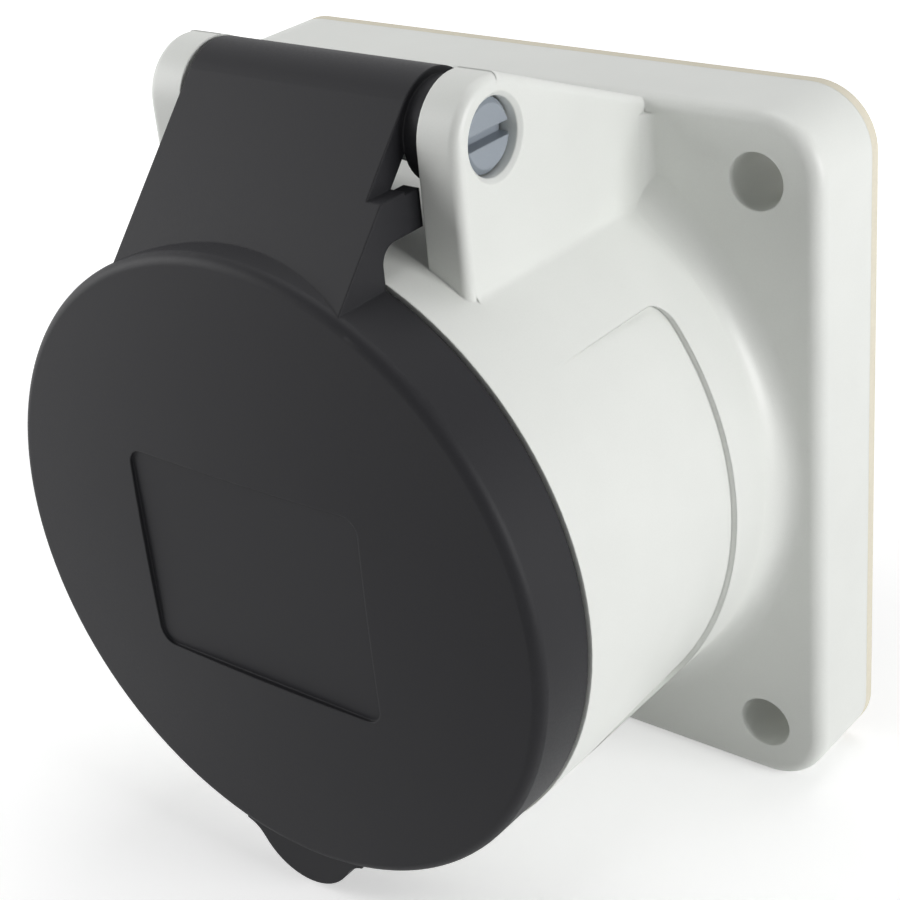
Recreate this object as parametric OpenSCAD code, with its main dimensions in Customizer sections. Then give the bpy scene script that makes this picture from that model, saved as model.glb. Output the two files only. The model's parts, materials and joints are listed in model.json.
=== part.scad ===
// Three-pole extra-low-voltage panel socket with a self-closing lid.
// Millimetres. X to the right, Y into the panel, Z up.
// Origin: middle of the four fixing holes, on the back face of the flange.
// Each sub-part is drawn facing up (local Z is out of the panel, local Y is
// up the panel) and is stood upright by world().

/* [Flange] */
// width and height of the square flange
flange_w = 63.4; // [60:0.2:70]
// thickness of the flange
flange_t = 8.5; // [7.5:0.1:11]
// corner radius of the flange
flange_r = 5.5; // [4:0.1:8]
// rounding of the flange's front edge
flange_edge = 1.3; // [0.6:0.1:2]
// wall of the hollow flange
flange_wall = 2.6; // [2:0.1:3]
// distance between the fixing holes, across and up
hole_pitch = 52; // [51:0.5:56]
// diameter of the fixing holes
hole_d = 4.9; // [4:0.1:5.4]
// wall of the bosses round the fixing holes
hole_boss_wall = 2.2; // [1.6:0.1:2.8]
// thickness of the flange gasket
gasket_t = 1; // [0.6:0.1:2]

/* [Collar] */
// outer diameter of the collar
collar_d = 55.9; // [54:0.1:57.5]
// wall of the collar
collar_wall = 4.2; // [3.6:0.1:4.6]
// front edge of the collar, from the flange's back
collar_h = 36.9; // [33:0.1:42]
// thickness of the sealing lip
lip_t = 1; // [0.8:0.1:1.3]
// fillet from collar to flange
collar_fillet = 2.5; // [1:0.1:3]
// half angle of the shallow field on each side of the collar
field_angle = 40; // [25:1:45]
// rear edge of the side field, from the flange's back
field_back = 15.8; // [14:0.1:20]
// length of the side field
field_l = 15; // [10:0.5:18]
// depth of the side field at its rear edge
field_depth = 0.5; // [0.3:0.05:0.8]
// depth of the main keyway, at the bottom
key_depth = 1.1; // [0.6:0.1:1.2]
// width of the main keyway
key_w = 5; // [4:0.1:7]
// width of the second keyway, at the top
key2_w = 3; // [2:0.1:4]

/* [Housing floor] */
// thickness of the floor that carries the contact insert
floor_t = 3; // [2.4:0.1:4]
// back face of the floor, from the flange's back
floor_h = 9; // [8:0.1:12]
// distance of the carrier screws from the middle
carrier_screw_r = 21.6; // [21.4:0.05:21.8]
// diameter of the screw bosses on the floor
floor_boss_d = 6.2; // [5.6:0.1:6.4]
// height of the screw bosses above the floor
floor_boss_h = 6; // [4:0.5:8]
// wall of the chamber behind the floor
chamber_wall = 2.75; // [2:0.05:3]

/* [Hinge] */
// height of the hinge pin above the middle
pin_up = 34.5; // [34:0.1:38]
// distance of the hinge pin from the flange's back
pin_out = 28; // [24:0.1:31]
// radius of the ears round the pin
ear_r = 4.7; // [4.2:0.1:5.4]
// distance between the ears
ear_gap = 24.2; // [20:0.1:28]
// thickness of each ear
ear_t = 3.7; // [3:0.1:5]
// rounding of the ears' outer edges
ear_edge = 0.8; // [0.4:0.1:1.2]
// fillet at the foot of the ears
ear_fillet = 1; // [0.5:0.1:1.5]
// diameter of the hinge pin's shank
pin_d = 3.5; // [3:0.1:4]
// diameter of the hinge pin's head
pin_head_d = 5.8; // [5:0.1:6.4]
// length of the hinge pin's head
pin_head_l = 2.1; // [1.5:0.1:2.6]
// how far the head lies below the ear's face
pin_head_sink = 0.7; // [0.3:0.1:1.2]
// bevel round the head
pin_head_edge = 0.45; // [0.2:0.05:0.7]
// width of the slot in the head
pin_slot_w = 1.1; // [0.8:0.1:1.4]
// depth of the slot in the head
pin_slot_depth = 1.2; // [0.8:0.1:1.4]

/* [Lid] */
// outer diameter of the lid
lid_d = 55.6; // [53:0.1:57]
// depth of the lid, back edge of the rim to the edge of the face
lid_depth = 6.1; // [5.5:0.1:7]
// rise of the domed face in the middle
dome_rise = 1.2; // [0.4:0.1:2]
// rounding of the lid's front edge
lid_edge = 1; // [0.6:0.1:1.6]
// wall of the lid's rim
rim_wall = 1.4; // [1.1:0.05:1.6]
// thickness of the face at its edge
lid_t = 2; // [1.6:0.1:2.6]
// width of the label recess
label_w = 24.5; // [18:0.5:30]
// height of the label recess
label_h = 18.8; // [12:0.4:24]
// corner radius of the label recess
label_r = 1.5; // [0.4:0.1:3]
// depth of the label recess in the middle
label_depth = 0.65; // [0.5:0.05:1.2]
// radius of the thumb tab
tab_r = 5.6; // [4:0.1:7]
// how far the thumb tab stands out from the rim
tab_out = 3.3; // [2:0.1:5]
// thickness of the thumb tab
tab_t = 2.4; // [1.8:0.1:3]
// fillet beside the thumb tab
tab_fillet = 3; // [1.5:0.1:4]
// thickness of the lid gasket
seal_t = 2; // [1.4:0.1:2.4]
// width of the lid gasket's ring
seal_w = 2.2; // [1.8:0.1:3]
// height of the latch lug inside the lid, above the middle
lug_up = 23; // [21:0.5:23.5]
// width of the latch lug
lug_w = 6; // [4:0.5:8]
// thickness of the latch lug
lug_t = 2.5; // [1.5:0.1:3]
// length of the latch lug behind the lid's inner face
lug_l = 2.6; // [1.5:0.1:3]

/* [Lid arm] */
// side gap between the arm and an ear
arm_side_gap = 0.4; // [0.3:0.05:0.8]
// thickness of the arm's plate
arm_t = 2.1; // [1.8:0.1:2.4]
// slope of the arm's plate
arm_slope = 48; // [44:0.5:52]
// wall of the arm's side skirts
skirt_t = 1.5; // [1:0.1:2]
// height of the skirts above the collar at the middle
skirt_lift = 0.55; // [0.4:0.05:1]
// height of the side skirts
skirt_h = 3; // [2:0.1:3.4]
// wall of the hood over the spring
hood_t = 1.5; // [1.2:0.1:1.8]
// width of the left knuckle
knuckle_a = 4; // [2.5:0.1:6]
// width of the middle knuckle
knuckle_b = 3; // [2:0.1:4]
// width of the notch in the arm's right edge, filled by the right knuckle
notch_w = 1.4; // [1:0.1:2]
// how far the right knuckle is set back below the hood
knuckle_step = 0.6; // [0.3:0.1:1]

/* [Lid spring] */
// wire diameter of the lid spring
wire_d = 0.8; // [0.6:0.05:1]
// mean diameter of the spring's coil
coil_d = 4.8; // [4.6:0.1:5]
// whole turns of the spring
coil_turns = 5; // [3:1:6]
// gap between neighbouring turns
coil_gap = 0.1; // [0.05:0.05:0.3]

/* [Contact insert] */
// diameter of the carrier inside the collar
carrier_d = 35.8; // [35:0.1:36]
// how far the carrier's face lies below the collar's edge
carrier_sink = 3.4; // [2.5:0.1:6]
// thickness of the carrier's flange
carrier_flange_t = 3; // [2.4:0.1:3.6]
// distance of the contacts from the middle
contact_r = 9.6; // [9.4:0.1:10]
// bore of the contact sleeves
contact_bore = 6.1; // [5:0.1:6.2]
// wall of the contact sleeves
contact_wall = 0.85; // [0.7:0.05:0.9]
// how far the sleeve's shoulder stands out from the sleeve
shoulder_w = 1.5; // [1:0.1:1.8]
// thickness of the sleeve's shoulder
shoulder_t = 2.5; // [1.5:0.1:2.8]
// width of the flat tail behind the sleeve
tail_w = 6; // [5:0.1:6.2]
// thickness of the flat tail
tail_t = 1.6; // [1.2:0.1:2]
// length of the slits in the sleeve's mouth
slit_l = 12; // [8:0.5:16]
// width of the slits in the sleeve's mouth
slit_w = 0.7; // [0.4:0.05:0.9]
// thickness of the spring ring round the sleeve
ring_t = 0.7; // [0.5:0.05:0.8]
// width of the spring ring's groove
ring_w = 2.4; // [2:0.1:3]
// depth of the spring ring's groove
ring_groove = 0.3; // [0.2:0.05:0.4]
// distance of the spring ring's groove from the sleeve's mouth
ring_back = 3; // [2:0.1:5]
// depth of the sleeves' bores
contact_depth = 20.5; // [16:0.5:22]
// thickness of the carrier's wall in front of the sleeves
carrier_front_t = 1.5; // [1.2:0.1:2.5]
// diameter of the terminal block
block_d = 36.8; // [36:0.1:37]
// length of the terminal block
block_l = 19; // [18:0.5:22]
// width of the terminal clamps
clamp_w = 8.4; // [7.6:0.1:8.4]
// length of the terminal clamps along the wire
clamp_l = 8; // [7:0.1:9]
// diameter of the clamp screws
clamp_screw_d = 4; // [3:0.1:4]
// inner face of the terminal clamps, from the middle
clamp_in = 4.8; // [4.4:0.1:5]
// outer face of the terminal clamps, from the middle
clamp_out = 14.4; // [14:0.1:14.8]
// wall of the terminal clamps
clamp_wall = 1.4; // [1:0.1:1.6]
// wall of the terminal clamps that carries the screw's thread
clamp_roof = 2.4; // [2:0.1:2.8]
// distance of the clamps from the block's back face
clamp_lift = 4.5; // [4:0.1:5]
// diameter of the clamp screws' heads
clamp_head_d = 6.4; // [5.4:0.1:6.6]
// diameter of the wire entries
wire_hole_d = 4.4; // [3.5:0.1:4.6]
// diameter of the small screws that hold the insert
screw_d = 2.9; // [2.5:0.1:3]
// diameter of the small screws' heads
screw_head_d = 5.4; // [4.6:0.1:5.4]
// height of the small screws' heads
screw_head_h = 2; // [1.4:0.1:2.2]
// how far the long middle screw reaches into the carrier
block_screw_grip = 11; // [8:0.5:14]

/* [Fits] */
// running clearance of the pin in its bores, on the radius
pin_fit = 0.05; // [0.03:0.01:0.08]
// clearance between pieces that slot together, on the radius
slip = 0.3; // [0.2:0.05:0.4]
// gap between the sealing lip and the lid's rim
lip_gap = 0.45; // [0.35:0.05:0.8]
// gap between the closed lid and the collar
lid_gap = 0.34; // [0.3:0.02:0.5]

/* [Hidden] */
$fn = 64;
eps = 0.01;

// flange and collar
half = flange_w / 2;
collar_r = collar_d / 2;
bore_r = collar_r - collar_wall;
chamber_r = collar_r - chamber_wall;
floor_top = floor_h + floor_t;
hole_boss_r = hole_d / 2 + hole_boss_wall;

// hinge
ear_in = ear_gap / 2;
ear_out = ear_in + ear_t;
ear_front = pin_out + ear_r;
pin_r = pin_d / 2;
pin_bore_r = pin_r + pin_fit;
head_seat = ear_out - pin_head_sink - pin_head_l;
head_bore_r = pin_head_d / 2 + 0.15;
ear_root = sqrt(pow(collar_r, 2) - pow(ear_out, 2)) - 2;
ear_strip_w = 2;
ear_set = 0.02;
ear_reach = norm([pin_up - half, pin_out - flange_t]);
ear_tilt = atan2(pin_up - half, pin_out - flange_t) + asin(ear_r / ear_reach);

// lid
lid_r = lid_d / 2;
lid_back = collar_h + lid_gap;
lid_face = lid_back + lid_depth;
lid_top = lid_face + dome_rise;
lid_floor = lid_face - lid_t;
lid_in_r = lid_r - rim_wall;
dome_r = (pow(lid_r - lid_edge, 2) + pow(dome_rise, 2)) / (2 * dome_rise);
tab_c = lid_r + tab_out - tab_r;
seal_r = lid_in_r - 0.1;
seal_back = lid_floor - seal_t;
lip_top = seal_back - lid_gap;
lip_r = lid_in_r - lip_gap;
lip_in_r = lip_r - lip_t;
mouth_r = min(bore_r, lip_in_r);
mouth_h = 1.2;

// arm of the lid
arm_x = ear_in - arm_side_gap;
barrel_r = ear_r - 0.05;
hood_r = barrel_r - hood_t;
skirt_low = collar_r + skirt_lift;
skirt_top = skirt_low + skirt_h;
skirt_back = pin_out + ear_r - 0.3;
arm_n = [cos(arm_slope), sin(arm_slope)];
arm_d = [-sin(arm_slope), cos(arm_slope)];
arm_a = [pin_up, pin_out] + barrel_r * arm_n;
arm_b = [pin_up, pin_out] + (barrel_r - arm_t) * arm_n;
arm_root = sqrt(pow(lid_r, 2) - pow(arm_x, 2)) - 1.2;
arm_end = lid_face - 0.5;
knuckle_b_x = arm_x - 2 * notch_w - coil_turns * (wire_d + coil_gap) - knuckle_b;

// spring
wire_r = wire_d / 2;
coil_r = coil_d / 2;
spring_x1 = arm_x - notch_w - wire_r - 0.1;
spring_turn = wire_d + coil_gap;

// contact insert
carrier_r = carrier_d / 2;
carrier_top = collar_h - carrier_sink;
insert_z = floor_h - carrier_flange_t;
insert_flange_r = chamber_r - slip;
sleeve_r = contact_bore / 2 + contact_wall;
sleeve_bore_r = sleeve_r - ring_groove + ring_t + 0.3;
sleeve_top = carrier_top - carrier_front_t - 0.5;
shoulder_r = sleeve_r + shoulder_w;
block_r = block_d / 2;
block_back = insert_z - block_l;
clamp_hollow = clamp_in + clamp_wall;
tail_in = contact_r - tail_t / 2;
wire_at = (clamp_hollow + tail_in) / 2;
clamp_z = block_back + clamp_lift;
clamp_mid = clamp_z + clamp_l / 2;
tail_back = clamp_z - 1;
screw_r = screw_d / 2;
screw_head_r = screw_head_d / 2;
angles = [90, 210, 330];

module world() rotate([90, 0, 0]) children();

// an outline in the up / out plane, carried across from x0 to x1
module across(x0, x1)
  translate([x0, 0, 0]) rotate([90, 0, 90]) linear_extrude(x1 - x0) children();

module rounded_square(w, r) {
  square([w, w - 2 * r], center = true);
  square([w - 2 * r, w], center = true);
  for (x = [-1, 1], y = [-1, 1])
    translate([x * (w / 2 - r), y * (w / 2 - r)]) circle(r);
}

module rounded_box(w, h, r) {
  square([w, h - 2 * r], center = true);
  square([w - 2 * r, h], center = true);
  for (x = [-1, 1], y = [-1, 1])
    translate([x * (w / 2 - r), y * (h / 2 - r)]) circle(r);
}

// section of a plate edge: length l, thickness t, rounded by e at the top
module edge_section(l, t, e) {
  square([l, t - e]);
  square([l - e, t]);
  translate([l - e, t - e]) circle(e);
}

// ---- housing ----
module flange_body() {
  flat = half - flange_r;
  translate([-half, -flat, 0]) cube([flange_w, 2 * flat, flange_t - flange_edge]);
  translate([-flat, -half, 0]) cube([2 * flat, flange_w, flange_t - flange_edge]);
  translate([-flat, -half + flange_edge, 0])
    cube([2 * flat, flange_w - 2 * flange_edge, flange_t]);
  translate([-half + flange_edge, -flat, 0])
    cube([flange_w - 2 * flange_edge, 2 * flat, flange_t]);
  for (k = [0 : 3]) rotate(90 * k) {
    translate([flat, flat, 0])
      rotate_extrude(angle = 90) edge_section(flange_r, flange_t, flange_edge);
    translate([half - flange_r, flat, 0]) rotate([90, 0, 0])
      linear_extrude(2 * flat) edge_section(flange_r, flange_t, flange_edge);
  }
}

module flange_pocket() {
  difference() {
    translate([0, 0, -1]) linear_extrude(flange_t - flange_wall + 1)
      rounded_square(flange_w - 2 * flange_wall, flange_r - flange_wall);
    cylinder(r = collar_r, h = 3 * flange_t, center = true);
    for (x = [-1, 1], y = [-1, 1])
      translate([x * hole_pitch / 2, y * hole_pitch / 2, -2])
        cylinder(r = hole_boss_r, h = flange_t + 4);
  }
}

module ear_outline(inset) {
  n = [cos(ear_tilt), -sin(ear_tilt)];
  top = [pin_up, pin_out] + (ear_r - ear_set - inset) * n;
  run = (top[1] - flange_t + 2) / cos(ear_tilt);
  foot = top - run * [sin(ear_tilt), cos(ear_tilt)];
  translate([pin_up, pin_out]) circle(ear_r - inset);
  polygon([[ear_root, foot[1]], [ear_root, ear_front - inset],
    [pin_up, ear_front - inset], [pin_up, pin_out], top, foot]);
}

// one ear: flat core, and a strip with a rounded edge along front, round and top
module ear() {
  n = [cos(ear_tilt), -sin(ear_tilt)];
  along = [sin(ear_tilt), cos(ear_tilt)];
  start = [pin_up, pin_out] + (ear_r - ear_set - ear_strip_w) * n + along;
  run = (start[1] - flange_t + 2) / cos(ear_tilt);
  across(ear_in, ear_out) ear_outline((ear_edge + ear_strip_w) / 2);
  translate([ear_in, 0, 0]) rotate([90, 0, 90]) {
    translate([ear_root, ear_front - ear_strip_w, 0]) rotate([90, 0, 90])
      linear_extrude(pin_up - ear_root) edge_section(ear_strip_w, ear_t, ear_edge);
    translate([pin_up, pin_out, 0]) rotate([0, 0, -90])
      rotate_extrude(angle = 180) translate([ear_r - ear_strip_w, 0])
        edge_section(ear_strip_w, ear_t, ear_edge);
    translate([start[0], start[1], 0]) rotate([0, 0, -90 - ear_tilt])
      rotate([90, 0, 90]) linear_extrude(run)
        edge_section(ear_strip_w, ear_t, ear_edge);
  }
}

// concave fillets where an ear stands on the collar and on the flange
module ear_feet() {
  f = ear_fillet;
  c = [ear_out + f, sqrt(pow(collar_r + f, 2) - pow(ear_out + f, 2))];
  t = c * collar_r / (collar_r + f);
  translate([0, 0, flange_t - 1])
    linear_extrude(ear_front - ear_edge - flange_t + 1) difference() {
      polygon([[ear_out - 0.5, c[1]], c, t, [ear_out - 0.5, t[1] - 0.5]]);
      translate(c) circle(f);
    }
  translate([0, half - flange_edge, 0]) rotate([90, 0, 0])
    linear_extrude(half - flange_edge - ear_root) difference() {
      translate([ear_out - 0.5, flange_t - 0.5]) square(f + 0.5);
      translate([ear_out + f, flange_t + f]) circle(f);
    }
}

module collar_foot() rotate_extrude() difference() {
  translate([collar_r - 0.5, flange_t - 0.5]) square(collar_fillet + 0.5);
  translate([collar_r + collar_fillet, flange_t + collar_fillet])
    circle(collar_fillet);
}

// shallow field on the collar's side, deepest at its rear edge
module side_field() intersection() {
  rise = field_depth / field_l;
  rotate([0, 0, -field_angle - 5]) rotate_extrude(angle = 2 * field_angle + 10)
    polygon([[collar_r - field_depth - rise, field_back - 1],
      [collar_r + 1, field_back - 1], [collar_r + 1, field_back + field_l + 1],
      [collar_r + rise, field_back + field_l + 1]]);
  translate([collar_r / 2, 0, field_back + field_l / 2 + 2]) rotate([0, 90, 0])
    linear_extrude(collar_r) rounded_box(field_l + 4,
      2 * collar_r * sin(field_angle), 2);
}

module housing() {
  color("WhiteSmoke") world() difference() {
    union() {
      difference() {
        flange_body();
        flange_pocket();
      }
      cylinder(r = collar_r, h = collar_h);
      cylinder(r = lip_r, h = lip_top);
      collar_foot();
      for (m = [0, 1]) mirror([m, 0, 0]) {
        ear();
        ear_feet();
      }
    }
    difference() {
      translate([0, 0, floor_top]) cylinder(r = bore_r, h = collar_h - mouth_h - floor_top);
      for (x = [-1, 1])
        translate([x * carrier_screw_r, 0, floor_top - 1])
          cylinder(d = floor_boss_d, h = floor_boss_h + 1);
    }
    translate([0, 0, collar_h - mouth_h - 0.1]) cylinder(r = mouth_r, h = lip_top);
    translate([0, 0, collar_h]) cylinder(r = lip_in_r, h = lip_top);
    translate([0, 0, -1]) cylinder(r = chamber_r, h = floor_h + 1);
    for (x = [-1, 1]) translate([x * carrier_screw_r, 0, -1])
      cylinder(r = screw_head_r + slip, h = floor_h + 1);
    cylinder(r = carrier_r + slip, h = collar_h);
    for (x = [-1, 1])
      translate([x * carrier_screw_r, 0, floor_h - 1])
        cylinder(r = screw_r + pin_fit, h = floor_t + floor_boss_h);
    translate([-key_w / 2, -bore_r - key_depth, floor_top])
      cube([key_w, key_depth + 2, collar_h]);
    translate([-key2_w / 2, bore_r - 2, floor_top])
      cube([key2_w, key_depth + 2, collar_h]);
    for (m = [0, 1]) mirror([m, 0, 0]) side_field();
    for (x = [-1, 1], y = [-1, 1])
      translate([x * hole_pitch / 2, y * hole_pitch / 2, -1])
        cylinder(d = hole_d, h = flange_t + 2);
    translate([-head_seat - 1.2, pin_up, pin_out]) rotate([0, 90, 0])
      cylinder(r = pin_bore_r, h = 2 * head_seat + 2);
    translate([head_seat, pin_up, pin_out]) rotate([0, 90, 0])
      cylinder(r = head_bore_r, h = ear_t);
    translate([ear_out - 0.35, pin_up, pin_out]) rotate([0, 90, 0])
      cylinder(r1 = head_bore_r, r2 = head_bore_r + 0.6, h = 0.6);
  }
}

module flange_gasket() {
  color("Tan") world() translate([0, 0, -gasket_t]) linear_extrude(gasket_t)
    difference() {
      rounded_square(flange_w, flange_r);
      circle(chamber_r + 0.6);
      for (x = [-1, 1], y = [-1, 1])
        translate([x * hole_pitch / 2, y * hole_pitch / 2])
          circle(d = hole_d);
    }
}

// ---- lid ----
module cap_section() {
  edge = lid_depth - lid_edge;
  translate([0, lid_back]) {
    square([lid_r, edge]);
    square([lid_r - lid_edge, lid_depth + dome_rise + 1]);
    translate([lid_r - lid_edge, edge]) circle(lid_edge);
  }
}

module cap() rotate_extrude() intersection() {
  cap_section();
  translate([0, lid_top - dome_r]) circle(dome_r, $fn = 1440);
  translate([0, lid_back]) square([lid_r + 1, lid_depth + dome_rise + 1]);
}

module tab_outline() {
  a = lid_r + tab_fillet;
  b = tab_r + tab_fillet;
  fy = -(a * a + tab_c * tab_c - b * b) / (2 * tab_c);
  fx = sqrt(a * a - fy * fy);
  on_lid = [fx, fy] * lid_r / a;
  on_tab = [0, -tab_c] + ([fx, fy] - [0, -tab_c]) * tab_r / b;
  translate([0, -tab_c]) circle(tab_r);
  difference() {
    polygon([[-on_lid[0], on_lid[1] + 2], [-on_lid[0], on_lid[1]], [-fx, fy],
      [-on_tab[0], on_tab[1]], on_tab, [fx, fy], on_lid,
      [on_lid[0], on_lid[1] + 2]]);
    for (s = [-1, 1]) translate([s * fx, fy]) circle(tab_fillet);
  }
}

// outer face of the arm's plate at height u
function arm_front(u) = arm_a[1] + (arm_a[0] - u) / tan(arm_slope);

module arm_plate() polygon([arm_a, [arm_a[0] - (arm_end - arm_a[1])
  * tan(arm_slope), arm_end], [arm_root, arm_end],
  [arm_root, arm_b[1] + (arm_b[0] - arm_root) / tan(arm_slope)], arm_b]);

module skirt() {
  f = 1.5;
  polygon([[skirt_low, skirt_back], [skirt_top, skirt_back],
    [skirt_top, arm_front(skirt_top)], [arm_a[0] - (arm_end - arm_a[1])
    * tan(arm_slope), arm_end], [arm_root, arm_end], [arm_root, lid_back],
    [skirt_low, lid_back]]);
  difference() {
    translate([skirt_low - f, lid_back - f]) square(f + 0.1);
    translate([skirt_low - f, lid_back - f]) circle(f);
  }
}

// curled hood over pin and spring, from behind the pin to the plate
module hood() {
  reach = 2 * barrel_r;
  translate([pin_up, pin_out]) difference() {
    intersection() {
      circle(barrel_r);
      polygon(concat([[0, 0]], [for (a = [-100, -50, 0, arm_slope])
        reach * [cos(a), sin(a)]]));
    }
    circle(hood_r);
  }
}

module arm() {
  difference() {
    union() {
      across(-arm_x, arm_x) arm_plate();
      for (m = [0, 1]) mirror([m, 0, 0]) across(arm_x - skirt_t, arm_x) skirt();
    }
    cylinder(r = lid_r - 1, h = 2 * lid_top);
    translate([-arm_x + knuckle_a, pin_up, pin_out]) rotate([0, 90, 0])
      cylinder(r = hood_r, h = 2 * arm_x);
    translate([arm_x - notch_w, skirt_top + 0.2, pin_out])
      cube([2 * notch_w, arm_a[0] + 0.6 - skirt_top, lid_top]);
  }
  across(-arm_x, arm_x - notch_w) hood();
  across(arm_x - notch_w - 0.02, arm_x) translate([pin_up, pin_out])
    circle(barrel_r - knuckle_step);
  for (k = [[-arm_x, knuckle_a], [knuckle_b_x, knuckle_b]])
    across(k[0], k[0] + k[1]) translate([pin_up, pin_out]) circle(barrel_r);
}

module lid() {
  color("DimGray") world() difference() {
    union() {
      cap();
      arm();
      translate([0, 0, lid_face - 0.35 - tab_t]) linear_extrude(tab_t)
        tab_outline();
    }
    difference() {
      translate([0, 0, lid_back - 2]) cylinder(r = lid_in_r, h = lid_floor - lid_back + 2);
      translate([-lug_w / 2, lug_up - lug_t, lid_floor - lug_l])
        cube([lug_w, lug_t, lug_l + 1]);
    }
    translate([0, 0, lid_top - label_depth]) linear_extrude(2)
      rounded_box(label_w, label_h, label_r);
    translate([-ear_gap / 2, pin_up, pin_out]) rotate([0, 90, 0])
      cylinder(r = pin_bore_r, h = ear_gap);
    translate([spring_x0 - 0.7, pin_up + coil_r - wire_r - 0.4, pin_out - barrel_r])
      cube([1.4, wire_d + 0.5, barrel_r]);
  }
}

module lid_gasket() {
  color("Black") world() translate([0, 0, seal_back]) linear_extrude(seal_t)
    difference() {
      circle(seal_r);
      circle(seal_r - seal_w);
      translate([-lug_w / 2 - slip, lug_up - lug_t - slip])
        square([lug_w + 2 * slip, lug_t + 2 * slip]);
    }
}

// ---- hinge pin and spring ----
module hinge_pin() {
  color("SlateGray") world() translate([0, pin_up, pin_out]) rotate([0, 90, 0])
    difference() {
      union() {
        translate([0, 0, -head_seat - 1]) cylinder(r = pin_r, h = 2 * head_seat + 1.2);
        translate([0, 0, head_seat])
          cylinder(d = pin_head_d, h = pin_head_l - pin_head_edge);
        translate([0, 0, head_seat + pin_head_l - pin_head_edge])
          cylinder(d1 = pin_head_d, d2 = pin_head_d - 2 * pin_head_edge,
            h = pin_head_edge);
      }
      translate([-pin_head_d, -pin_slot_w / 2, head_seat + pin_head_l - pin_slot_depth])
        cube([2 * pin_head_d, pin_slot_w, pin_slot_depth + 1]);
    }
}

// the coil starts at the top with a straight leg to the rear, turns over the
// front and ends in a leg that falls to the rear and lies on the collar
leg_fall = 25;
leg_a = 5.2;
leg_rest = sqrt(pow(collar_r, 2) - pow(spring_x1, 2)) + wire_r;
leg_b = (pin_up - coil_r * cos(leg_fall) - leg_rest) / sin(leg_fall);
wire_sides = 8;
turn_steps = 16;
coil_sweep = 360 * coil_turns + 180 - leg_fall;
coil_steps = ceil(coil_sweep / 360 * turn_steps);
spring_x0 = spring_x1 - coil_sweep / 360 * spring_turn;

// ring i of the wire, moved along the wire by shift
function coil_ring(i, shift) = let (
    a = i / coil_steps * coil_sweep,
    x = spring_x0 + i / coil_steps * (spring_x1 - spring_x0))
  [for (j = [0 : wire_sides - 1]) let (
      b = -360 * j / wire_sides,
      r = coil_r + wire_r * cos(b))
    [x + wire_r * sin(b), pin_up + r * cos(a) - shift * sin(a),
      pin_out + r * sin(a) + shift * cos(a)]];

module lid_spring() {
  rings = concat([coil_ring(0, -leg_a)], [for (i = [0 : coil_steps])
    coil_ring(i, 0)], [coil_ring(coil_steps, leg_b)]);
  n = len(rings);
  m = wire_sides;
  color("Silver") world() polyhedron(
    points = [for (r = rings) for (p = r) p],
    faces = concat([[for (j = [0 : m - 1]) j]],
      [[for (j = [m - 1 : -1 : 0]) (n - 1) * m + j]],
      [for (i = [0 : n - 2]) for (j = [0 : m - 1])
        [i * m + j, (i + 1) * m + j, (i + 1) * m + (j + 1) % m]],
      [for (i = [0 : n - 2]) for (j = [0 : m - 1])
        [i * m + j, (i + 1) * m + (j + 1) % m, i * m + (j + 1) % m]]));
}

// ---- contact insert ----
module at_contact(k)
  rotate([0, 0, angles[k - 1]]) translate([contact_r, 0, 0]) children();

module contact_carrier() {
  color("Gray") world() difference() {
    union() {
      translate([0, 0, insert_z]) rotate_extrude()
        edge_section(carrier_r, carrier_top - insert_z, 0.8);
      translate([0, 0, insert_z]) cylinder(r = insert_flange_r, h = carrier_flange_t);
    }
    for (k = [1 : 3]) at_contact(k) {
      translate([0, 0, insert_z - 1])
        cylinder(r = sleeve_bore_r, h = carrier_top - carrier_front_t - insert_z + 1);
      translate([0, 0, insert_z - 1])
        cylinder(r = shoulder_r + 0.1, h = shoulder_t + 1);
      translate([0, 0, insert_z]) cylinder(d = contact_bore + 0.5, h = carrier_top);
      translate([0, 0, carrier_top - 0.6])
        cylinder(d1 = contact_bore + 0.5, d2 = contact_bore + 2.1, h = 0.8);
    }
    for (x = [-1, 1]) translate([x * carrier_screw_r, 0, insert_z - 1])
      cylinder(r = screw_r + 0.2, h = carrier_flange_t + floor_t + floor_boss_h + 1);
    translate([0, 0, insert_z - 1])
      cylinder(r = screw_r + pin_fit, h = block_screw_grip + 2);
  }
}

module contact_sleeve(k) {
  color("Goldenrod") world() at_contact(k) {
    difference() {
      union() {
        translate([0, 0, insert_z]) cylinder(r = sleeve_r, h = sleeve_top - insert_z);
        translate([0, 0, insert_z]) cylinder(r = shoulder_r, h = shoulder_t);
      }
      translate([0, 0, sleeve_top - contact_depth])
        cylinder(d = contact_bore, h = contact_depth + 1);
      translate([0, 0, sleeve_top - 0.5])
        cylinder(d1 = contact_bore, d2 = contact_bore + 1.2, h = 0.6);
      for (a = [0, 90]) rotate([0, 0, a + 45])
        translate([-sleeve_r - 1, -slit_w / 2, sleeve_top - slit_l])
          cube([2 * sleeve_r + 2, slit_w, slit_l + 1]);
      translate([0, 0, sleeve_top - ring_back - ring_w]) difference() {
        cylinder(r = sleeve_r + 1, h = ring_w);
        translate([0, 0, -1]) cylinder(r = sleeve_r - ring_groove, h = ring_w + 2);
      }
    }
    translate([-tail_t / 2, -tail_w / 2, tail_back])
      cube([tail_t, tail_w, insert_z + 1 - tail_back]);
  }
}

module sleeve_ring(k) {
  color("LightSteelBlue") world() at_contact(k)
    translate([0, 0, sleeve_top - ring_back - ring_w + 0.1]) rotate([0, 0, 20])
      rotate_extrude(angle = 320) translate([sleeve_r - ring_groove + 0.02, 0])
        square([ring_t, ring_w - 0.2]);
}

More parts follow.
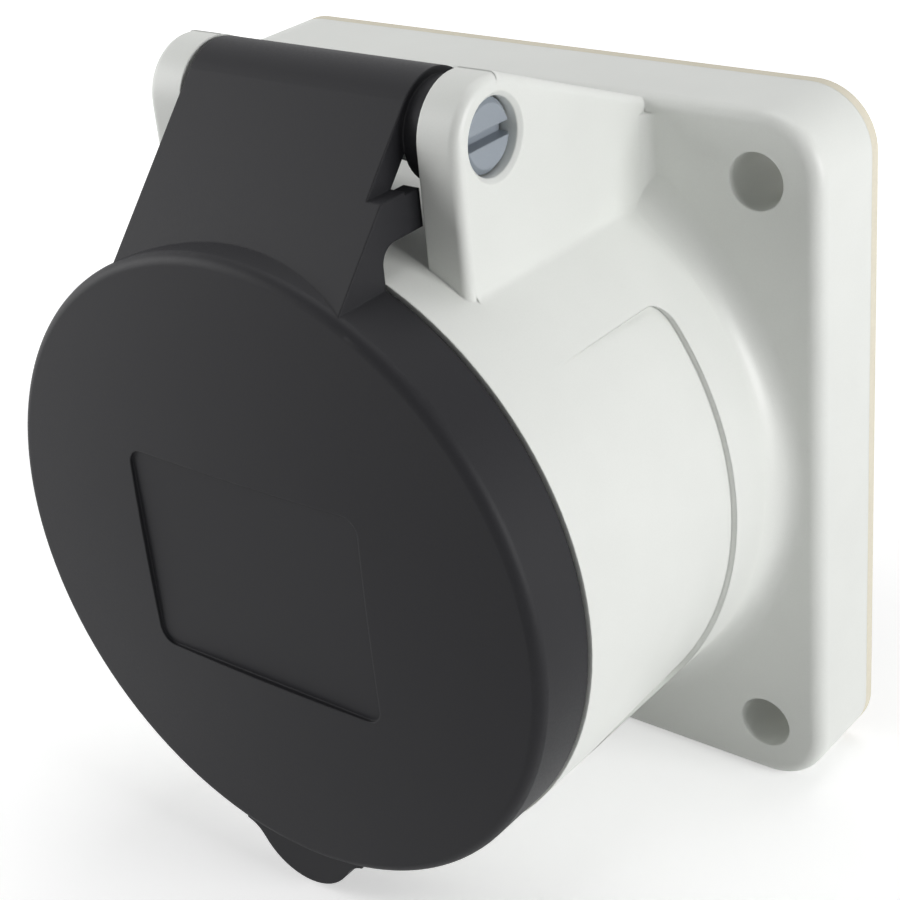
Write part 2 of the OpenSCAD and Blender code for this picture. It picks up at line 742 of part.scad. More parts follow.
module terminal_clamp(k) {
  color("Khaki") world() rotate([0, 0, angles[k - 1]]) difference() {
    translate([clamp_in, -clamp_w / 2, clamp_z])
      cube([clamp_out - clamp_in, clamp_w, clamp_l]);
    translate([clamp_hollow, -clamp_w / 2 + 1, clamp_z - 1])
      cube([clamp_out - clamp_roof - clamp_hollow, clamp_w - 2, clamp_l + 2]);
    translate([contact_r, 0, clamp_mid]) rotate([0, 90, 0])
      cylinder(r = clamp_screw_d / 2 + pin_fit, h = clamp_out);
  }
}

module terminal_block() {
  color("DarkGray") world() difference() {
    translate([0, 0, insert_z]) rotate([180, 0, 0]) rotate_extrude()
      edge_section(block_r, block_l, 1);
    for (k = [1 : 3]) rotate([0, 0, angles[k - 1]]) {
      translate([clamp_in - slip, -clamp_w / 2 - slip, tail_back - 1])
        cube([clamp_out - clamp_in + 2 * slip, clamp_w + 2 * slip,
          insert_z - tail_back + 2]);
      translate([wire_at, 0, block_back - 1])
        cylinder(d = wire_hole_d, h = block_l);
      translate([contact_r, 0, clamp_mid]) rotate([0, 90, 0])
        cylinder(d = clamp_head_d + 0.8, h = block_d);
    }
    for (x = [-1, 1])
      translate([x * carrier_screw_r, 0, insert_z - screw_head_h - slip])
        cylinder(r = screw_head_r + slip, h = screw_head_h + slip + 1);
    translate([0, 0, block_back - 1]) cylinder(r = screw_r + 0.2, h = block_l + 2);
    translate([0, 0, block_back - 1]) cylinder(r = screw_head_r + 0.3, h = screw_head_h + 1.2);
  }
}

module slotted_head(d, h) difference() {
  cylinder(d = d, h = h);
  translate([-d, -0.5, h - 1]) cube([2 * d, 1, 2]);
}

module clamp_screws() {
  start = contact_r + tail_t / 2;
  seat = clamp_out + 0.9;
  color("Silver") world() for (k = [1 : 3]) rotate([0, 0, angles[k - 1]])
    translate([0, 0, clamp_mid]) rotate([0, 90, 0]) {
      translate([0, 0, start]) cylinder(d = clamp_screw_d, h = seat - start + 0.5);
      translate([0, 0, seat]) slotted_head(clamp_head_d, 2.2);
    }
}

module carrier_screws() {
  color("Silver") world() for (x = [-1, 1])
    translate([x * carrier_screw_r, 0, insert_z]) {
      cylinder(r = screw_r, h = carrier_flange_t + floor_t + floor_boss_h - 2);
      rotate([180, 0, 0]) slotted_head(2 * screw_head_r, screw_head_h);
    }
}

module block_screw() {
  seat = block_back + screw_head_h + 0.2;
  color("Silver") world() translate([0, 0, seat]) {
    cylinder(r = screw_r, h = insert_z + block_screw_grip - seat);
    rotate([180, 0, 0]) slotted_head(2 * screw_head_r, screw_head_h);
  }
}

housing();
flange_gasket();
lid();
lid_gasket();
hinge_pin();
lid_spring();
contact_carrier();
terminal_block();
contact_sleeve(1);  // contact_sleeve_1
contact_sleeve(2);  // contact_sleeve_2
contact_sleeve(3);  // contact_sleeve_3
sleeve_ring(1);  // sleeve_ring_1
sleeve_ring(2);  // sleeve_ring_2
sleeve_ring(3);  // sleeve_ring_3
terminal_clamp(1);  // terminal_clamp_1
terminal_clamp(2);  // terminal_clamp_2
terminal_clamp(3);  // terminal_clamp_3
clamp_screws();
carrier_screws();
block_screw();
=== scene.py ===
"""Finishes and stage for a square-flanged panel socket with a sprung, domed lid.

The solids of the socket are the fixed frame. The operators below give each of them
the surface of the material it is moulded, turned or plated in, wind a smooth lid
spring over the plain one, and set up the floor, the lamps and the camera.
"""

import json
import math

import bpy
from mathutils import Matrix, Vector


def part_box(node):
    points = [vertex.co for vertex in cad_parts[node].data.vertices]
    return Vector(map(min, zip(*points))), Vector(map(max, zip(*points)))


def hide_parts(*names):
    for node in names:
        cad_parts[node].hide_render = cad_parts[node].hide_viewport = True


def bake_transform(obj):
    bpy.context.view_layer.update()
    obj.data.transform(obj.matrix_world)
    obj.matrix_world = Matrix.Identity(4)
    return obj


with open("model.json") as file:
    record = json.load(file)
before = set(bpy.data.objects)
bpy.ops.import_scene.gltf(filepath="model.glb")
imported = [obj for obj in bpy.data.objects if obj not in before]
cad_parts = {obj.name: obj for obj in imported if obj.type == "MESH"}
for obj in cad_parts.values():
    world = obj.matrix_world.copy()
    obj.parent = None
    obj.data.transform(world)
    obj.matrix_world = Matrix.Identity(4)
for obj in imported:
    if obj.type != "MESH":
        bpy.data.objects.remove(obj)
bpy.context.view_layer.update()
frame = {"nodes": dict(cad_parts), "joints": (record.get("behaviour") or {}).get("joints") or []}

bl_info = {
    "name": "Panel Socket Finishes",
    "version": (1, 0, 0),
    "blender": (4, 5, 0),
    "location": "View3D > Sidebar > Panel Socket",
    "description": "Surfaces, lid spring and stage for a hinged-lid panel socket",
    "category": "Object",
}

MM = 0.001
HINGE = Vector(frame["joints"][0]["pos_m"])
FLANGE_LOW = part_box("housing")[0].z

# spring: length of the leg in the hood, and steps in each turn of the coil
HOOD_LEG = 5.2 * MM
COIL_STEPS = 40

# floor: half its size, how much whiter the camera sees it near the socket, and the
# distances between which that grows to full white, in metres
FLOOR_HALF = 1.5
FLOOR_LIFT = 0.42
FLOOR_NEAR = 0.1
FLOOR_FAR = 0.35

# the point that the lamps face, and how far the picture's middle lies to the right of
# and above the collar's middle
LAMP_AIM = Vector((0, -0.02, 0))
COLLAR_MIDDLE = Vector((0, -20 * MM, 0))
SHIFT_RIGHT = 1.06 * MM
SHIFT_UP = 0.80 * MM


def linear(code):
    """An sRGB hex colour as the linear colour that a shader takes."""
    parts = [int(code[i : i + 2], 16) / 255 for i in (1, 3, 5)]
    flat = [c / 12.92 if c <= 0.04045 else ((c + 0.055) / 1.055) ** 2.4 for c in parts]
    return (*flat, 1.0)


def add_node(tree, kind, values=None, links=None, **settings):
    """Adds a node with its settings, its socket values and its incoming links."""
    made = tree.nodes.new(kind)
    for name, value in settings.items():
        setattr(made, name, value)
    for socket, value in (values or {}).items():
        made.inputs[socket].default_value = value
    for socket, source in (links or {}).items():
        tree.links.new(source, made.inputs[socket])
    return made


def new_material(name):
    """An empty node material, with its output and its object coordinates."""
    material = bpy.data.materials.new(name)
    material.use_nodes = True
    tree = material.node_tree
    tree.nodes.clear()
    place = add_node(tree, "ShaderNodeTexCoord").outputs["Object"]
    return material, tree, place


def close_material(tree, shader):
    """Joins the finished shader to the material's output."""
    add_node(tree, "ShaderNodeOutputMaterial", links={"Surface": shader.outputs[0]})


def seen_directly(tree):
    """1 on rays from the camera, a gloss or a clear piece, and 0 on lighting rays."""
    rays = add_node(tree, "ShaderNodeLightPath")
    either = add_node(
        tree,
        "ShaderNodeMath",
        links={0: rays.outputs["Is Camera Ray"], 1: rays.outputs["Is Glossy Ray"]},
        operation="MAXIMUM",
    )
    return add_node(
        tree,
        "ShaderNodeMath",
        links={0: either.outputs[0], 1: rays.outputs["Is Transmission Ray"]},
        operation="MAXIMUM",
    ).outputs[0]


def dress(material, *nodes):
    """Puts a material on CAD nodes, without a change to their meshes."""
    for name in nodes:
        for slot in frame["nodes"][name].material_slots:
            slot.material = material


def window(tree, place, half_x, half_z):
    """1 where |x| and |z| are inside the half sizes, and 0 elsewhere."""
    axes = add_node(tree, "ShaderNodeSeparateXYZ", links={0: place})
    inside = []
    for axis, half in (("X", half_x), ("Z", half_z)):
        size = add_node(
            tree, "ShaderNodeMath", links={0: axes.outputs[axis]}, operation="ABSOLUTE"
        )
        inside.append(
            add_node(
                tree,
                "ShaderNodeMath",
                {1: half},
                {0: size.outputs[0]},
                operation="LESS_THAN",
            )
        )
    return add_node(
        tree,
        "ShaderNodeMath",
        links={0: inside[0].outputs[0], 1: inside[1].outputs[0]},
        operation="MULTIPLY",
    )


def eroded_plastic(
    name, colour, roughness, ior, grain, depth, edge, mottle=0.03, gloss=0.5, bare=None
):
    """Moulded plastic from a spark-eroded tool: fine pits, faintly uneven colour.

    grain and depth are the pits' spacing and depth, and edge is the radius that the
    tool leaves on an outside edge, all in metres. gloss is the shader's specular
    level, which deep grain lowers by shading itself, and bare the half sizes of a
    window that the tool has polished.
    """
    material, tree, place = new_material(name)
    pits = add_node(
        tree,
        "ShaderNodeTexNoise",
        {"Scale": 1 / grain, "Detail": 3.0, "Roughness": 0.6},
        {"Vector": place},
    )
    if bare:
        # the pits' middle height is 0.5, so the polished window lies level with it
        polish = window(tree, place, *bare)
        pits = add_node(
            tree,
            "ShaderNodeMix",
            {3: 0.5},
            {0: polish.outputs[0], 2: pits.outputs[0]},
        )
    # flow of the melt, a few millimetres wide, seen as a faint change of tone
    flow = add_node(
        tree,
        "ShaderNodeTexNoise",
        {"Scale": 1 / (9 * MM), "Detail": 2.0, "Roughness": 0.5},
        {"Vector": place},
    )
    speckle = add_node(
        tree,
        "ShaderNodeMapRange",
        {"From Min": 0.3, "From Max": 0.7, "To Min": 1 - mottle, "To Max": 1 + mottle},
        {"Value": pits.outputs[0]},
    )
    drift = add_node(
        tree,
        "ShaderNodeMapRange",
        {"From Min": 0.3, "From Max": 0.7, "To Min": 0.985, "To Max": 1.015},
        {"Value": flow.outputs[0]},
    )
    tone = add_node(
        tree,
        "ShaderNodeMath",
        links={0: speckle.outputs[0], 1: drift.outputs[0]},
        operation="MULTIPLY",
    )
    tinted = add_node(
        tree,
        "ShaderNodeVectorMath",
        {0: colour[:3]},
        {"Scale": tone.outputs[0]},
        operation="SCALE",
    )
    satin = add_node(
        tree,
        "ShaderNodeMapRange",
        {
            "From Min": 0.3,
            "From Max": 0.7,
            "To Min": roughness - 0.04,
            "To Max": roughness + 0.04,
        },
        {"Value": pits.outputs[0]},
    )
    soft = add_node(tree, "ShaderNodeBevel", {"Radius": edge}, samples=6)
    bump = add_node(
        tree,
        "ShaderNodeBump",
        {"Strength": 1.0, "Distance": depth},
        {"Height": pits.outputs[0], "Normal": soft.outputs[0]},
    )
    shader = add_node(
        tree,
        "ShaderNodeBsdfPrincipled",
        {"IOR": ior, "Specular IOR Level": gloss},
        {
            "Base Color": tinted.outputs[0],
            "Roughness": satin.outputs[0],
            "Normal": bump.outputs[0],
        },
    )
    close_material(tree, shader)
    return material


def plated_metal(name, colour, roughness, grain, depth, stretch=(1, 1, 1)):
    """Plated or drawn metal: fine marks along the way it was worked."""
    material, tree, place = new_material(name)
    along = add_node(
        tree, "ShaderNodeMapping", {"Scale": stretch}, {"Vector": place}
    )
    marks = add_node(
        tree,
        "ShaderNodeTexNoise",
        {"Scale": 1 / grain, "Detail": 4.0, "Roughness": 0.65},
        {"Vector": along.outputs[0]},
    )
    stain = add_node(
        tree,
        "ShaderNodeMapRange",
        {"From Min": 0.3, "From Max": 0.7, "To Min": 0.93, "To Max": 1.05},
        {"Value": marks.outputs[0]},
    )
    tinted = add_node(
        tree,
        "ShaderNodeVectorMath",
        {0: colour[:3]},
        {"Scale": stain.outputs[0]},
        operation="SCALE",
    )
    gloss = add_node(
        tree,
        "ShaderNodeMapRange",
        {
            "From Min": 0.3,
            "From Max": 0.7,
            "To Min": roughness - 0.06,
            "To Max": roughness + 0.08,
        },
        {"Value": marks.outputs[0]},
    )
    soft = add_node(tree, "ShaderNodeBevel", {"Radius": 0.1 * MM}, samples=4)
    bump = add_node(
        tree,
        "ShaderNodeBump",
        {"Strength": 1.0, "Distance": depth},
        {"Height": marks.outputs[0], "Normal": soft.outputs[0]},
    )
    shader = add_node(
        tree,
        "ShaderNodeBsdfPrincipled",
        {"Metallic": 1.0},
        {
            "Base Color": tinted.outputs[0],
            "Roughness": gloss.outputs[0],
            "Normal": bump.outputs[0],
        },
    )
    close_material(tree, shader)
    return material


class SocketMouldings(bpy.types.PropertyGroup):
    """Colours and grain of the moulded pieces."""

    housing_colour: bpy.props.FloatVectorProperty(
        name="Housing",
        description="Colour of the white polyamide housing",
        subtype="COLOR",
        size=4,
        min=0.0,
        max=1.0,
        default=linear("#E6E8E4"),
    )
    lid_colour: bpy.props.FloatVectorProperty(
        name="Lid",
        description="Colour of the black-grey polyamide lid",
        subtype="COLOR",
        size=4,
        min=0.0,
        max=1.0,
        default=linear("#1F1F22"),
    )
    pin_colour: bpy.props.FloatVectorProperty(
        name="Hinge pin",
        description="Colour of the blue-grey acetal hinge pin",
        subtype="COLOR",
        size=4,
        min=0.0,
        max=1.0,
        default=linear("#939BA4"),
    )
    insert_colour: bpy.props.FloatVectorProperty(
        name="Contact insert",
        description="Colour of the carrier and the terminal block",
        subtype="COLOR",
        size=4,
        min=0.0,
        max=1.0,
        default=linear("#6E7173"),
    )
    housing_grain: bpy.props.FloatProperty(
        name="Housing grain",
        description="Spacing of the pits on the housing",
        default=0.14 * MM,
        min=0.05 * MM,
        max=1 * MM,
        precision=5,
        subtype="DISTANCE",
        unit="LENGTH",
    )
    lid_grain: bpy.props.FloatProperty(
        name="Lid grain",
        description="Spacing of the pits on the lid",
        default=0.2 * MM,
        min=0.05 * MM,
        max=1 * MM,
        precision=5,
        subtype="DISTANCE",
        unit="LENGTH",
    )
    recess_width: bpy.props.FloatProperty(
        name="Recess width",
        description="Width of the polished floor of the label recess",
        default=24.4 * MM,
        min=1 * MM,
        precision=5,
        subtype="DISTANCE",
        unit="LENGTH",
    )
    recess_height: bpy.props.FloatProperty(
        name="Recess height",
        description="Height of the polished floor of the label recess",
        default=18.7 * MM,
        min=1 * MM,
        precision=5,
        subtype="DISTANCE",
        unit="LENGTH",
    )
    edge_radius: bpy.props.FloatProperty(
        name="Edge radius",
        description="Radius that the tool leaves on the outside edges",
        default=0.22 * MM,
        min=0.0,
        max=1 * MM,
        precision=5,
        subtype="DISTANCE",
        unit="LENGTH",
    )


class SocketSpring(bpy.types.PropertyGroup):
    """Sizes of the lid spring."""

    wire: bpy.props.FloatProperty(
        name="Wire",
        description="Diameter of the spring wire",
        default=0.8 * MM,
        min=0.3 * MM,
        max=1.5 * MM,
        precision=5,
        subtype="DISTANCE",
        unit="LENGTH",
    )
    coil: bpy.props.FloatProperty(
        name="Coil",
        description="Mean diameter of the spring's coil",
        default=4.8 * MM,
        min=3 * MM,
        max=6 * MM,
        precision=5,
        subtype="DISTANCE",
        unit="LENGTH",
    )
    turns: bpy.props.IntProperty(
        name="Turns",
        description="Whole turns of the coil",
        default=5,
        min=1,
        max=8,
    )
    fall: bpy.props.FloatProperty(
        name="Leg's fall",
        description="Slope of the leg that lies on the collar",
        default=math.radians(25),
        min=0.0,
        max=math.radians(60),
        subtype="ANGLE",
        unit="ROTATION",
    )


class SocketStage(bpy.types.PropertyGroup):
    """Floor, lamps and camera."""

    side_lamp: bpy.props.FloatProperty(
        name="Side lamp",
        description="Power of the soft lamp on the right",
        default=1.85,
        min=0.0,
        max=20.0,
        unit="POWER",
    )
    top_lamp: bpy.props.FloatProperty(
        name="Top lamp",
        description="Power of the large lamp overhead",
        default=1.25,
        min=0.0,
        max=20.0,
        unit="POWER",
    )
    left_lamp: bpy.props.FloatProperty(
        name="Left lamp",
        description="Power of the soft lamp on the left",
        default=1.8,
        min=0.0,
        max=20.0,
        unit="POWER",
    )
    ambient: bpy.props.FloatProperty(
        name="Room light",
        description="Strength of the even light from all around",
        default=0.11,
        min=0.0,
        max=2.0,
    )
    azimuth: bpy.props.FloatProperty(
        name="Camera azimuth",
        description="Turn of the camera to the right of the lid's face",
        default=math.radians(40.60),
        subtype="ANGLE",
        unit="ROTATION",
    )
    elevation: bpy.props.FloatProperty(
        name="Camera elevation",
        description="Height angle of the camera",
        default=math.radians(27.53),
        subtype="ANGLE",
        unit="ROTATION",
    )
    roll: bpy.props.FloatProperty(
        name="Camera roll",
        description="Turn of the camera about its line of sight",
        default=math.radians(-5.78),
        subtype="ANGLE",
        unit="ROTATION",
    )
    distance: bpy.props.FloatProperty(
        name="Camera distance",
        description="Distance of the camera from the point it looks at",
        default=172.69 * MM,
        min=50 * MM,
        precision=5,
        subtype="DISTANCE",
        unit="LENGTH",
    )
    focal_length: bpy.props.FloatProperty(
        name="Focal length",
        description="Focal length in millimetres on a sensor 36 mm wide",
        default=77.96,
        min=10.0,
        max=300.0,
    )


class SOCKET_OT_housing(bpy.types.Operator):
    """Gives the housing the surface of white moulded polyamide"""

    bl_idname = "socket.housing"
    bl_label = "Finish the housing"

    def execute(self, context):
        look = context.scene.socket_mouldings
        # glass-filled polyamide from an eroded tool: satin, with a grain just felt
        material = eroded_plastic(
            "white_polyamide_eroded",
            look.housing_colour,
            roughness=0.42,
            ior=1.53,
            grain=look.housing_grain,
            depth=0.0022 * MM,
            edge=look.edge_radius,
            mottle=0.012,
        )
        dress(material, "housing")
        return {"FINISHED"}


class SOCKET_OT_lid(bpy.types.Operator):
    """Gives the lid its black-grey grain, and its label recess a smooth floor"""

    bl_idname = "socket.lid"
    bl_label = "Finish the lid"

    def execute(self, context):
        look = context.scene.socket_mouldings
        # polyamide, coarser eroded grain: the dome looks matt, with a faint sparkle,
        # and the label's recess is polished, so it is even
        material = eroded_plastic(
            "black_polyamide_eroded",
            look.lid_colour,
            roughness=0.52,
            ior=1.53,
            grain=look.lid_grain,
            depth=0.006 * MM,
            edge=look.edge_radius,
            mottle=0.12,
            gloss=0.18,
            bare=(look.recess_width / 2, look.recess_height / 2),
        )
        dress(material, "lid")
        return {"FINISHED"}


class SOCKET_OT_hinge_pin(bpy.types.Operator):
    """Gives the hinge pin the surface of blue-grey moulded acetal"""

    bl_idname = "socket.hinge_pin"
    bl_label = "Finish the hinge pin"

    def execute(self, context):
        look = context.scene.socket_mouldings
        # acetal from a polished tool: slick, with a broad soft highlight
        material = eroded_plastic(
            "blue_grey_acetal",
            look.pin_colour,
            roughness=0.33,
            ior=1.48,
            grain=0.2 * MM,
            depth=0.0012 * MM,
            edge=0.2 * MM,
            mottle=0.015,
        )
        dress(material, "hinge_pin")
        return {"FINISHED"}


class SOCKET_OT_insert(bpy.types.Operator):
    """Gives the contact carrier and the terminal block their grey plastic"""

    bl_idname = "socket.insert"
    bl_label = "Finish the contact insert"

    def execute(self, context):
        look = context.scene.socket_mouldings
        # glass-filled polyester: dull satin, with a trace of its fibres in the tone
        material = eroded_plastic(
            "grey_polyester_glass_filled",
            look.insert_colour,
            roughness=0.46,
            ior=1.57,
            grain=0.18 * MM,
            depth=0.003 * MM,
            edge=0.2 * MM,
            mottle=0.04,
        )
        dress(material, "contact_carrier", "terminal_block")
        return {"FINISHED"}


class SOCKET_OT_gaskets(bpy.types.Operator):
    """Gives the two gaskets the surface of moulded and of punched rubber"""

    bl_idname = "socket.gaskets"
    bl_label = "Finish the gaskets"

    def execute(self, context):
        # punched from calendered sheet: chalky and matt, with talc on the cut edge
        pale = eroded_plastic(
            "cream_rubber_sheet",
            linear("#E3DDCB"),
            roughness=0.78,
            ior=1.52,
            grain=0.3 * MM,
            depth=0.01 * MM,
            edge=0.1 * MM,
            mottle=0.03,
        )
        # moulded nitrile: deep black, matt, a little waxy
        black = eroded_plastic(
            "black_nitrile_rubber",
            linear("#222324"),
            roughness=0.62,
            ior=1.52,
            grain=0.25 * MM,
            depth=0.006 * MM,
            edge=0.2 * MM,
            mottle=0.05,
        )
        dress(pale, "flange_gasket")
        dress(black, "lid_gasket")
        return {"FINISHED"}


class SOCKET_OT_metal(bpy.types.Operator):
    """Gives contacts, clamps, spring rings and screws their plated metal"""

    bl_idname = "socket.metal"
    bl_label = "Finish the metal pieces"

    def execute(self, context):
        # nickel over turned brass: warm silver, rings of the tool along the sleeve
        nickel = plated_metal(
            "nickel_plated_brass",
            linear("#D6CFBF"),
            0.24,
            0.12 * MM,
            0.0015 * MM,
            (1, 6, 1),
        )
        # bare pressed brass, dulled by handling
        brass = plated_metal(
            "pressed_brass", linear("#D9B469"), 0.34, 0.25 * MM, 0.002 * MM
        )
        # zinc over steel, clear passivated: a cool, slightly cloudy silver
        zinc = plated_metal(
            "zinc_plated_steel", linear("#C4C8CC"), 0.32, 0.2 * MM, 0.002 * MM
        )
        # drawn spring steel, streaked along the wire: its dark grey is partly the steel's own
        # tone and partly painted shade, set dark because the lid spring sits in the hinge's
        # shadow; the sleeve rings take the same colour
        drawn_steel_painted_shade = plated_metal(
            "drawn_spring_steel_painted_shade", linear("#A9ABAE"), 0.3, 0.1 * MM, 0.001 * MM
        )
        for k in (1, 2, 3):
            dress(nickel, f"contact_sleeve_{k}")
            dress(brass, f"terminal_clamp_{k}")
            dress(drawn_steel_painted_shade, f"sleeve_ring_{k}")
        dress(zinc, "clamp_screws", "carrier_screws", "block_screw")
        # the lid spring's steel, whose darker colour holds painted shade from the hinge
        dress(drawn_steel_painted_shade, "lid_spring")
        return {"FINISHED"}


class SOCKET_OT_spring(bpy.types.Operator):
    """Winds the round lid spring in the place of the plain one"""

    bl_idname = "socket.spring"
    bl_label = "Wind the lid spring"

    def execute(self, context):
        size = context.scene.socket_spring
        low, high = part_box("lid_spring")
        wire_r = size.wire / 2
        coil_r = size.coil / 2
        sweep = math.tau * size.turns + math.pi - size.fall
        steps = size.turns * COIL_STEPS
        start_x, end_x = low.x + wire_r, high.x - wire_r

        def ring(share, ahead):
            a = share * sweep
            up = coil_r * math.cos(a) - ahead * math.sin(a)
            out = coil_r * math.sin(a) + ahead * math.cos(a)
            x = start_x + share * (end_x - start_x)
            return Vector((x, HINGE.y - out, HINGE.z + up))

        hood_leg = min(high.y - HINGE.y, HOOD_LEG)
        drop = HINGE.z - coil_r * math.cos(size.fall) - (low.z + wire_r)
        collar_leg = drop / math.sin(size.fall)
        path = [ring(0, -hood_leg)]
        path += [ring(i / steps, 0) for i in range(steps + 1)]
        path += [ring(1, collar_leg)]
        curve = bpy.data.curves.new("lid_spring_wire", "CURVE")
        curve.dimensions = "3D"
        curve.bevel_depth = wire_r
        curve.bevel_resolution = 5
        curve.use_fill_caps = True
        line = curve.splines.new("POLY")
        line.points.add(len(path) - 1)
        for point, place in zip(line.points, path):
            point.co = (*place, 1.0)
        # the wound spring takes the steel whose darker colour holds painted shade from the hinge
        curve.materials.append(bpy.data.materials["drawn_spring_steel_painted_shade"])
        winding = bpy.data.objects.new("lid_spring_winding", curve)
        context.scene.collection.objects.link(winding)
        solid = winding.evaluated_get(context.evaluated_depsgraph_get())
        mesh = bpy.data.meshes.new_from_object(solid)
        bpy.data.objects.remove(winding)
        spring = bpy.data.objects.new("lid_spring_wire", mesh)
        context.scene.collection.objects.link(spring)
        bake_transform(spring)
        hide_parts("lid_spring")
        return {"FINISHED"}


class SOCKET_OT_stage(bpy.types.Operator):
    """Sets up the pale floor, the room light, three lamps and the camera"""

    bl_idname = "socket.stage"
    bl_label = "Set the stage"

    def execute(self, context):
        stage = context.scene.socket_stage
        scene = context.scene
        scene.view_settings.view_transform = "Standard"
        self.make_floor(scene)
        self.make_world(scene, stage)
        for name, place, width, power in (
            ("side_lamp", (0.55, 0.04, 0.10), 0.25, stage.side_lamp),
            ("top_lamp", (0.0, 0.12, 0.55), 0.42, stage.top_lamp),
            ("left_lamp", (-0.45, -0.28, 0.19), 0.35, stage.left_lamp),
        ):
            self.make_lamp(scene, name, place, width, power)
        self.make_camera(scene, stage)
        return {"FINISHED"}

    @staticmethod
    def make_floor(scene):
        half = FLOOR_HALF
        mesh = bpy.data.meshes.new("floor")
        corners = [(-half, -half), (half, -half), (half, half), (-half, half)]
        mesh.from_pydata([(x, y, FLANGE_LOW) for x, y in corners], [], [(0, 1, 2, 3)])
        floor = bpy.data.objects.new("floor", mesh)
        scene.collection.objects.link(floor)
        material, tree, place = new_material("matt_white_board")
        tooth = add_node(
            tree,
            "ShaderNodeTexNoise",
            {"Scale": 1 / (0.6 * MM), "Detail": 2.0},
            {"Vector": place},
        )
        tone = add_node(
            tree,
            "ShaderNodeMapRange",
            {"To Min": 0.90, "To Max": 0.92},
            {"Value": tooth.outputs[0]},
        )
        board = add_node(
            tree, "ShaderNodeBsdfDiffuse", links={"Color": tone.outputs[0]}
        )
        # the camera sees the board a little whiter, and far off wholly white, so that
        # it meets the background
        away = add_node(
            tree, "ShaderNodeVectorMath", links={0: place}, operation="LENGTH"
        )
        whiter = add_node(
            tree,
            "ShaderNodeMapRange",
            {
                "From Min": FLOOR_NEAR,
                "From Max": FLOOR_FAR,
                "To Min": FLOOR_LIFT,
                "To Max": 1.0,
            },
            {"Value": away.outputs["Value"]},
        )
        lift = add_node(
            tree,
            "ShaderNodeMath",
            links={0: seen_directly(tree), 1: whiter.outputs[0]},
            operation="MULTIPLY",
        )
        glow = add_node(
            tree, "ShaderNodeEmission", links={"Strength": lift.outputs[0]}
        )
        both = add_node(
            tree,
            "ShaderNodeAddShader",
            links={0: board.outputs[0], 1: glow.outputs[0]},
        )
        close_material(tree, both)
        mesh.materials.append(material)

    @staticmethod
    def make_world(scene, stage):
        world = bpy.data.worlds.new("white_room")
        world.use_nodes = True
        tree = world.node_tree
        tree.nodes.clear()
        lit = add_node(tree, "ShaderNodeBackground", {"Strength": stage.ambient})
        white = add_node(tree, "ShaderNodeBackground", {"Strength": 1.0})
        for background in (lit, white):
            background.inputs["Color"].default_value = (1.0, 1.0, 1.0, 1.0)
        mixed = add_node(
            tree,
            "ShaderNodeMixShader",
            links={0: seen_directly(tree), 1: lit.outputs[0], 2: white.outputs[0]},
        )
        add_node(tree, "ShaderNodeOutputWorld", links={"Surface": mixed.outputs[0]})
        scene.world = world

    @staticmethod
    def make_lamp(scene, name, place, width, power):
        lamp = bpy.data.lights.new(name, "AREA")
        lamp.shape = "SQUARE"
        lamp.size = width
        lamp.energy = power
        made = bpy.data.objects.new(name, lamp)
        made.location = place
        aim = LAMP_AIM - Vector(place)
        made.rotation_euler = aim.to_track_quat("-Z", "Y").to_euler()
        scene.collection.objects.link(made)

    @staticmethod
    def make_camera(scene, stage):
        azimuth, elevation, roll = stage.azimuth, stage.elevation, stage.roll
        back = Vector(
            (
                math.sin(azimuth) * math.cos(elevation),
                -math.cos(azimuth) * math.cos(elevation),
                math.sin(elevation),
            )
        )
        level = Vector((math.cos(azimuth), math.sin(azimuth), 0))
        raised = back.cross(level)
        right = level * math.cos(roll) + raised * math.sin(roll)
        up = -level * math.sin(roll) + raised * math.cos(roll)
        # the collar's middle lies a little to the left of the picture's, and below it
        middle = COLLAR_MIDDLE + right * SHIFT_RIGHT + up * SHIFT_UP
        lens = bpy.data.cameras.new("camera")
        lens.sensor_width = 36
        lens.lens = stage.focal_length
        lens.clip_start = 0.01
        camera = bpy.data.objects.new("camera", lens)
        turn = Matrix((right, up, back)).transposed().to_4x4()
        camera.matrix_world = (
            Matrix.Translation(middle + back * stage.distance) @ turn
        )
        scene.collection.objects.link(camera)
        scene.camera = camera


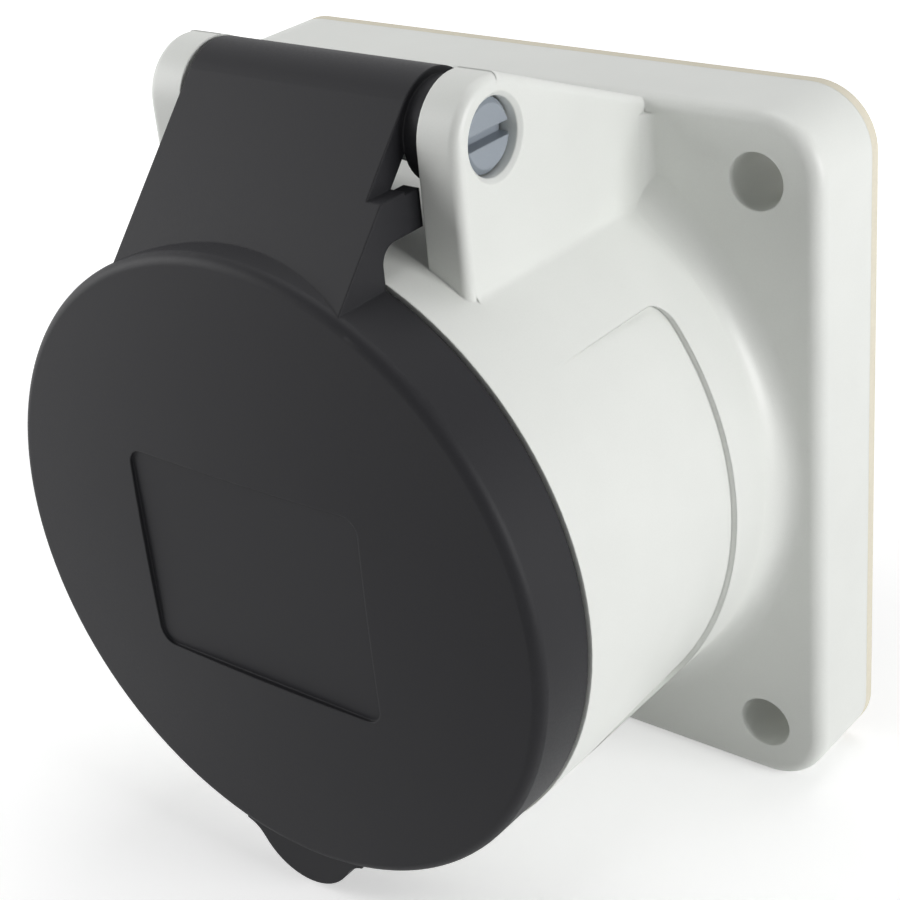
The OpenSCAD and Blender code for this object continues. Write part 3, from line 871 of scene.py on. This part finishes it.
class SOCKET_PT_panel(bpy.types.Panel):
    """Lists the sizes, the colours and the operators of the socket"""

    bl_idname = "SOCKET_PT_panel"
    bl_label = "Panel Socket"
    bl_space_type = "VIEW_3D"
    bl_region_type = "UI"
    bl_category = "Panel Socket"

    def draw(self, context):
        scene = context.scene
        groups = (
            (
                scene.socket_mouldings,
                ("housing_colour", "lid_colour", "pin_colour", "insert_colour"),
            ),
            (
                scene.socket_mouldings,
                (
                    "housing_grain",
                    "lid_grain",
                    "edge_radius",
                    "recess_width",
                    "recess_height",
                ),
            ),
            (scene.socket_spring, ("wire", "coil", "turns", "fall")),
            (scene.socket_stage, ("side_lamp", "top_lamp", "left_lamp", "ambient")),
            (
                scene.socket_stage,
                ("azimuth", "elevation", "roll", "distance", "focal_length"),
            ),
        )
        for group, names in groups:
            box = self.layout.box()
            for name in names:
                box.prop(group, name)
        for operator in OPERATORS:
            self.layout.operator(operator.bl_idname)


OPERATORS = (
    SOCKET_OT_housing,
    SOCKET_OT_lid,
    SOCKET_OT_hinge_pin,
    SOCKET_OT_insert,
    SOCKET_OT_gaskets,
    SOCKET_OT_metal,
    SOCKET_OT_spring,
    SOCKET_OT_stage,
)
GROUPS = {
    "socket_mouldings": SocketMouldings,
    "socket_spring": SocketSpring,
    "socket_stage": SocketStage,
}


def register():
    """Adds the property groups, the operators and the panel to Blender."""
    for group in GROUPS.values():
        bpy.utils.register_class(group)
    for operator in OPERATORS:
        bpy.utils.register_class(operator)
    bpy.utils.register_class(SOCKET_PT_panel)
    for name, group in GROUPS.items():
        setattr(bpy.types.Scene, name, bpy.props.PointerProperty(type=group))


def unregister():
    """Takes them out again."""
    for name in GROUPS:
        delattr(bpy.types.Scene, name)
    bpy.utils.unregister_class(SOCKET_PT_panel)
    for operator in reversed(OPERATORS):
        bpy.utils.unregister_class(operator)
    for group in reversed(list(GROUPS.values())):
        bpy.utils.unregister_class(group)


def main():
    """Makes every piece and the stage."""
    register()
    for operator in OPERATORS:
        name = operator.bl_idname.split(".")[1]
        getattr(bpy.ops.socket, name)()


if __name__ == "__main__":
    main()
